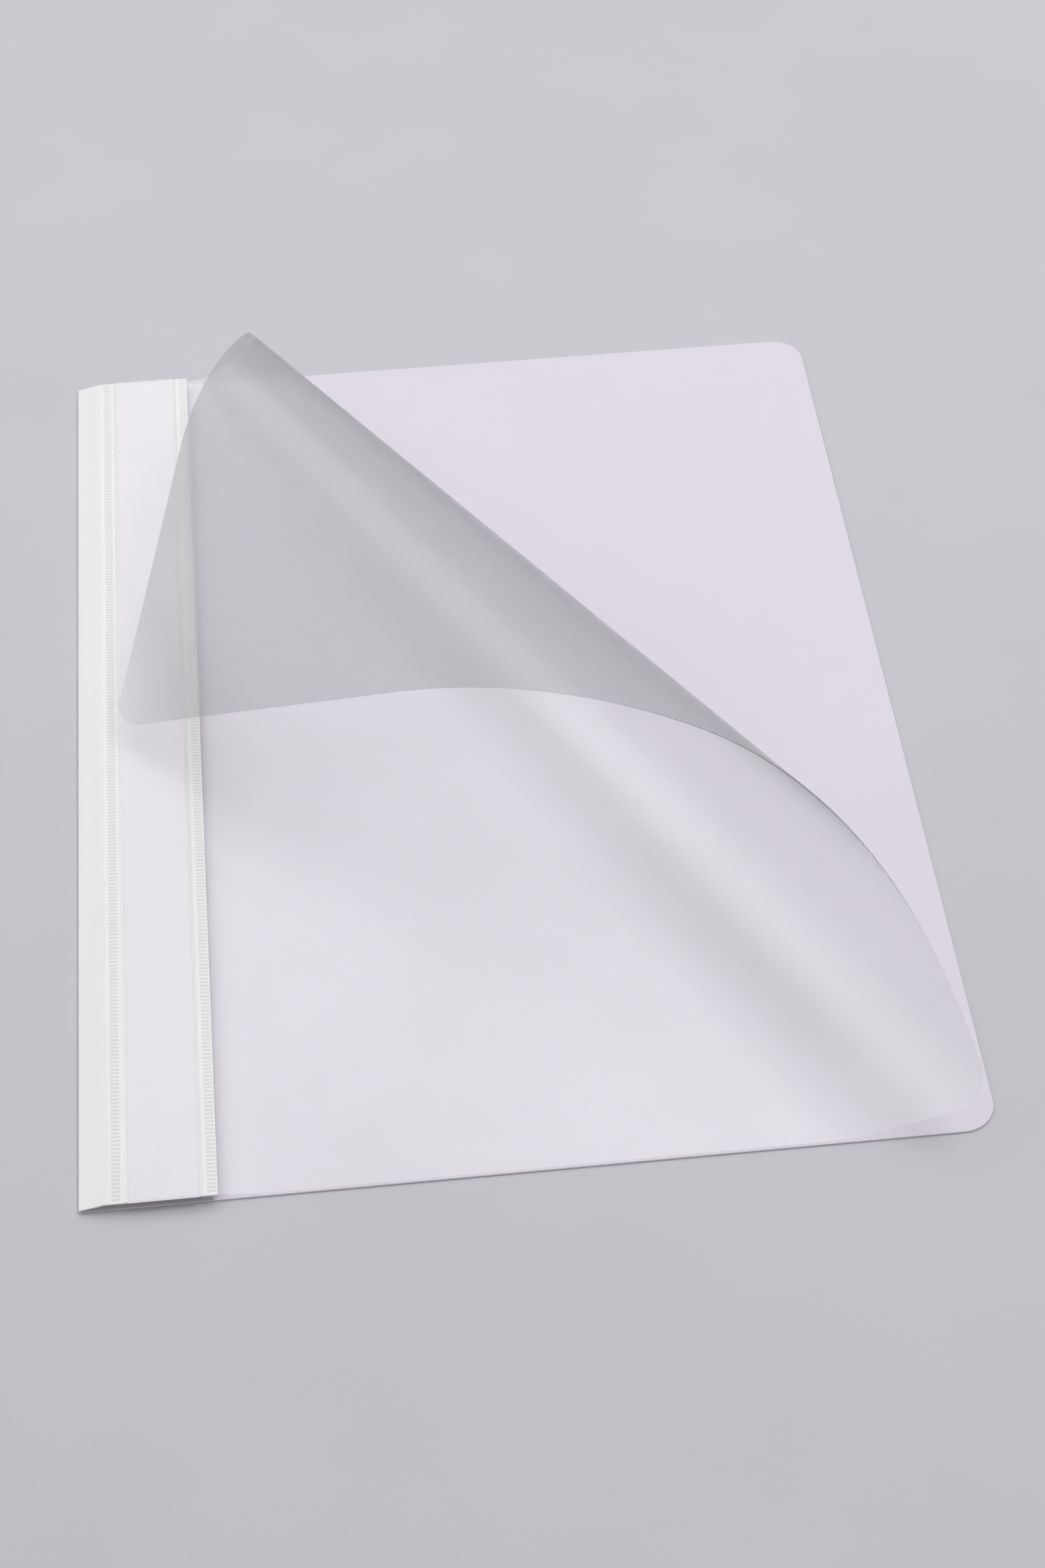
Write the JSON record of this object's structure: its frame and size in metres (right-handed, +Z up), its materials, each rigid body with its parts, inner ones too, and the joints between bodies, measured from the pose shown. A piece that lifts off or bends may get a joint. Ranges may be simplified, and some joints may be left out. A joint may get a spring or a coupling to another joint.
{
  "type": "flat file folder",
  "caption": "Report file with a white back, a folded title strip with a paper label, a prong fastener inside and a clear front cover rolled over at one corner.",
  "frame": {"origin": "middle of the underside of the back cover, on the surface that the file lies on", "axes": "+X from the spine towards the free edge, +Y towards the head of the page, +Z up out of the back cover"},
  "size_m": [0.2341, 0.311, 0.0691],
  "materials": {
    "back_sheet": "white polypropylene sheet with a fine matt grain",
    "strip_sheet": "white polypropylene sheet with a fine matt grain",
    "window_film": "thin clear film, welded along both edges",
    "label_paper": "plain uncoated paper",
    "cover_film": "clear film with a fine matt surface",
    "filing_plastic": "white polypropylene strip",
    "fastener_steel": "thin bright steel band",
    "bar_plastic": "moulded white plastic"
  },
  "bodies": {
    "back": {"back_cover": "back_sheet", "filing_strip": "filing_plastic", "fastener_base": "fastener_steel", "compressor_bar": "bar_plastic"},
    "spine": {"spine_panel": "strip_sheet"},
    "front": {"title_strip": "strip_sheet", "title_window": "window_film", "front_cover": "cover_film"},
    "label": {"title_label": "label_paper"},
    "upper_prong": {"prong_upper": "fastener_steel"},
    "lower_prong": {"prong_lower": "fastener_steel"}
  },
  "joints": [
    {"name": "spine_fold", "type": "hinge", "parent": "back", "child": "spine", "pos_m": [-0.117, 0, 0.00065], "axis": [0, -1, 0], "range_deg": [0, 162]},
    {"name": "front_crease", "type": "hinge", "parent": "spine", "child": "front", "pos_m": [-0.1102, 0, 0.00265], "axis": [0, -1, 0], "range_deg": [0, 18]},
    {"name": "label_slide", "type": "slide", "parent": "front", "child": "label", "axis": [0, -1, 0], "range_m": [-0.29, 0.29]},
    {"name": "upper_prong_bend", "type": "hinge", "parent": "back", "child": "upper_prong", "pos_m": [-0.1, 0.04, 0.00202], "axis": [-1, 0, 0], "range_deg": [0, 90]},
    {"name": "lower_prong_bend", "type": "hinge", "parent": "back", "child": "lower_prong", "pos_m": [-0.1, -0.04, 0.00202], "axis": [1, 0, 0], "range_deg": [0, 90]}
  ],
  "couplings": [
    {"joint": "front_crease", "follows": "spine_fold", "ratio": 0.1111},
    {"joint": "upper_prong_bend", "follows": "spine_fold", "ratio": 0.5555},
    {"joint": "lower_prong_bend", "follows": "spine_fold", "ratio": 0.5555}
  ]
}
